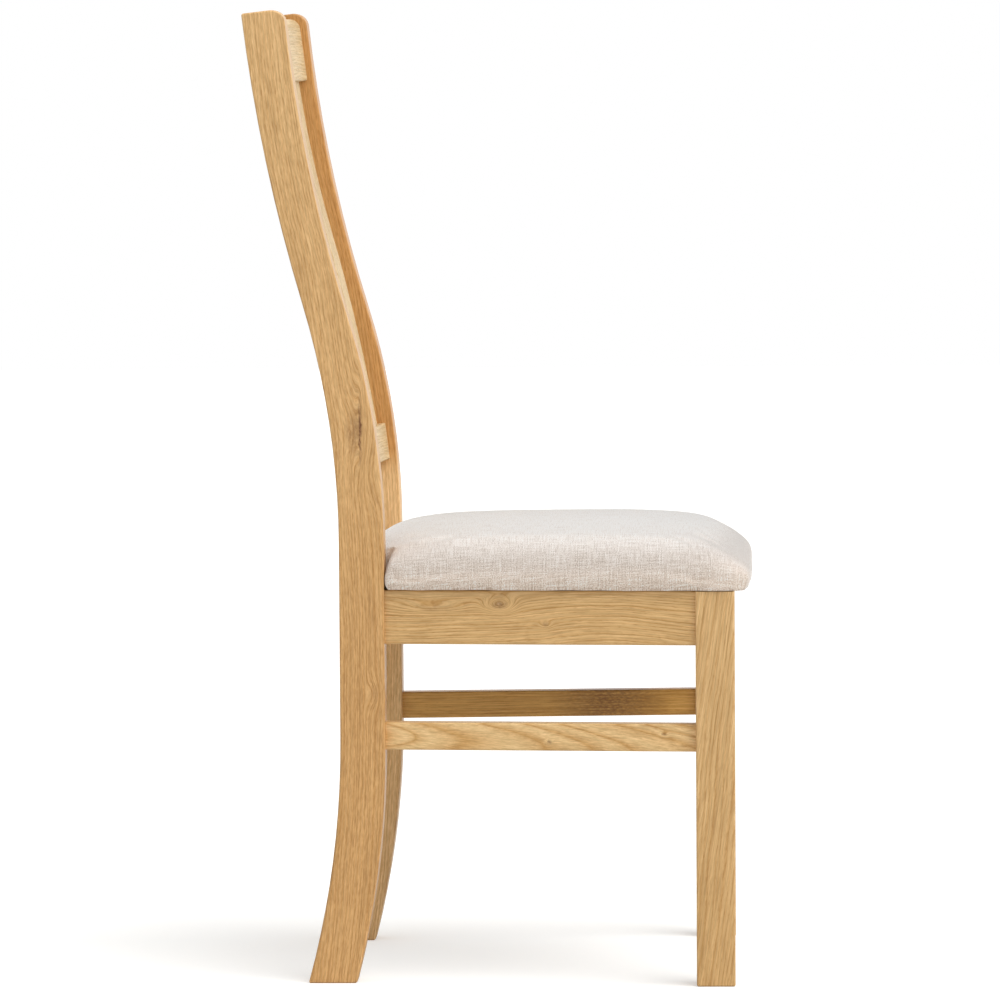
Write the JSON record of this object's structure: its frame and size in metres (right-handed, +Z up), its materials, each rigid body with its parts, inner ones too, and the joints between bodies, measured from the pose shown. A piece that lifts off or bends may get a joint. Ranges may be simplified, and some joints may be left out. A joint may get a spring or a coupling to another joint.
{
  "type": "slat back chair",
  "caption": "Wooden dining chair with a tall, curved slatted back on S-curved rear posts, straight front legs, side stretchers and a padded cloth seat.",
  "frame": {"origin": "on the floor, under the middle of the chair's box", "axes": "+Z up, -Y the way the sitter faces, +X the sitter's left"},
  "size_m": [0.4648, 0.5482, 1.0602],
  "materials": {
    "oak": "satin",
    "block_wood": "matte",
    "plywood": "matte",
    "seat_cloth": "matte",
    "foam": "matte",
    "dust_cloth": "matte",
    "zinc_steel": "satin"
  },
  "bodies": {
    "root": {"rear_post_right": "oak", "rear_post_left": "oak", "front_leg_right": "oak", "front_leg_left": "oak", "side_rail_right": "oak", "side_rail_left": "oak", "side_stretcher_right": "oak", "side_stretcher_left": "oak", "front_rail": "oak", "rear_rail": "oak", "top_rail": "oak", "lower_back_rail": "oak", "back_slat_1": "oak", "back_slat_2": "oak", "back_slat_3": "oak", "back_slat_4": "oak", "back_slat_5": "oak", "corner_block_front_right": "block_wood", "corner_block_front_left": "block_wood", "corner_block_rear_right": "block_wood", "corner_block_rear_left": "block_wood", "corner_block_screws": "zinc_steel", "seat_screws": "zinc_steel", "cover_staples": "zinc_steel", "dust_cover_staples": "zinc_steel", "seat_board": "plywood", "seat_foam": "foam", "seat_cover": "seat_cloth", "dust_cover": "dust_cloth"}
  },
  "joints": []
}
